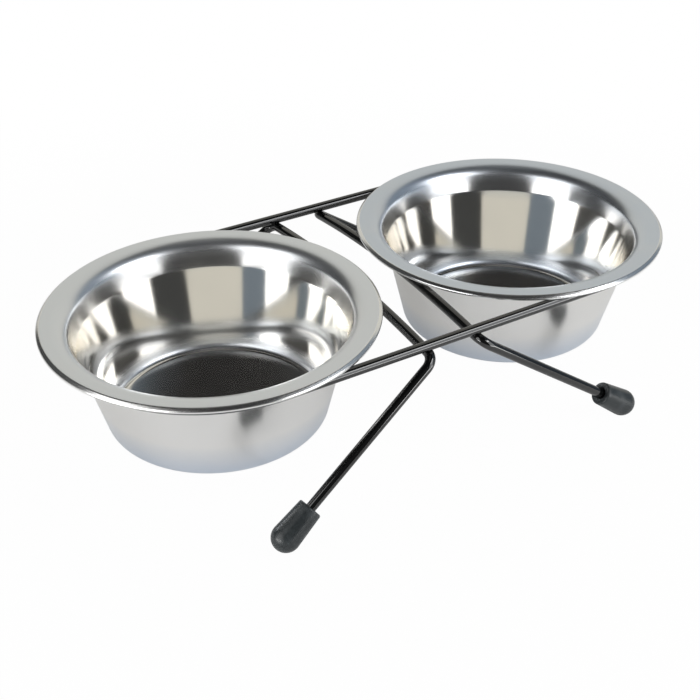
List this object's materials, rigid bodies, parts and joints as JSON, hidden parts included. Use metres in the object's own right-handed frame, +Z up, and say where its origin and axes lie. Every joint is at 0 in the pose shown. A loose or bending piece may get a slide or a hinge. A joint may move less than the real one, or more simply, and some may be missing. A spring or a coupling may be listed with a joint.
{
  "type": "double pet bowl",
  "caption": "Round steel feeding bowls hung by their flanges in a black wire stand with splayed legs and domed rubber feet.",
  "frame": {"origin": "on the floor, at the middle of the stand", "axes": "+X along the stand from the left bowl to the right bowl, +Y to the back, +Z up"},
  "size_m": [0.312, 0.178, 0.0704],
  "materials": {
    "bowl_steel": "satin flange and outside, polished inside",
    "wire_coating": "gloss black coating",
    "foot_rubber": "satin black"
  },
  "bodies": {
    "stand": {"support_loop": "wire_coating", "leg_wire_left": "wire_coating", "leg_wire_right": "wire_coating", "foot_cap_front_left": "foot_rubber", "foot_cap_rear_left": "foot_rubber", "foot_cap_front_right": "foot_rubber", "foot_cap_rear_right": "foot_rubber"},
    "left_bowl": {"bowl_left": "bowl_steel"},
    "right_bowl": {"bowl_right": "bowl_steel"}
  },
  "joints": [
    {"name": "left_bowl_lift", "type": "slide", "parent": "stand", "child": "left_bowl", "axis": [0, 0, 1], "range_m": [0, 0.07]},
    {"name": "right_bowl_lift", "type": "slide", "parent": "stand", "child": "right_bowl", "axis": [0, 0, 1], "range_m": [0, 0.07]}
  ]
}
